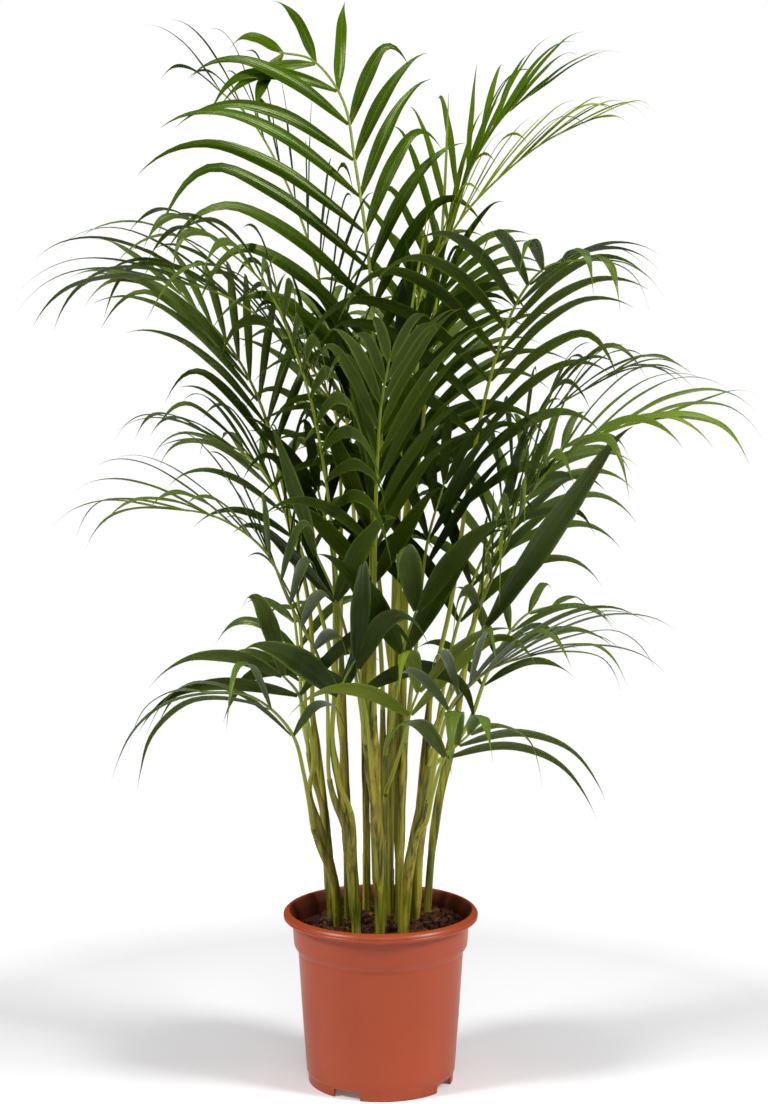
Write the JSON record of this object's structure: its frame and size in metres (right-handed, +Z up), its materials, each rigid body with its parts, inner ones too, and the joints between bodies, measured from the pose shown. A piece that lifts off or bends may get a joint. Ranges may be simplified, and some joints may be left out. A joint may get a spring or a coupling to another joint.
{
  "type": "potted palm",
  "caption": "Feathered palm of slim ringed canes standing in a tapered plastic nursery pot filled with dark soil.",
  "frame": {"origin": "on the pot's axis, at the level of the foot it stands on", "axes": "+Z up the pot's axis, +X to the right and -Y towards the viewer of the side seen first"},
  "size_m": [0.676, 0.6035, 1.045],
  "materials": {
    "pot": "thin moulded brown plastic, satin",
    "soil": "crumbly potting soil with bark and fibres",
    "cane": "smooth ringed living cane, yellow-green with brown sheaths",
    "frond": "living leaf, mid green, waxy",
    "frond_deep": "living leaf, deep green, waxy",
    "frond_fresh": "new living leaf, yellow-green"
  },
  "bodies": {
    "root": {"pot": "pot", "soil": "soil", "cane_01": "cane", "cane_02": "cane", "cane_03": "cane", "cane_04": "cane", "cane_05": "cane", "cane_06": "cane", "cane_07": "cane", "cane_08": "cane", "cane_09": "cane", "cane_10": "cane", "cane_11": "cane", "cane_12": "cane", "frond_01": "frond", "frond_02": "frond", "frond_03": "frond_fresh", "frond_04": "frond", "frond_05": "frond", "frond_06": "frond", "frond_07": "frond", "frond_08": "frond", "frond_09": "frond", "frond_10": "frond", "frond_11": "frond", "frond_12": "frond", "frond_13": "frond", "frond_14": "frond", "frond_15": "frond", "frond_16": "frond", "frond_17": "frond_deep", "frond_18": "frond_deep", "frond_19": "frond", "frond_20": "frond", "frond_21": "frond", "frond_22": "frond_deep", "frond_23": "frond_deep", "frond_24": "frond_deep", "frond_25": "frond_deep", "frond_26": "frond_deep", "frond_27": "frond_deep", "frond_28": "frond", "frond_29": "frond_deep", "frond_30": "frond_deep", "frond_31": "frond_deep", "frond_32": "frond_deep", "frond_33": "frond", "frond_34": "frond_fresh", "frond_35": "frond_deep", "frond_36": "frond_fresh", "frond_37": "frond_fresh"}
  },
  "joints": []
}
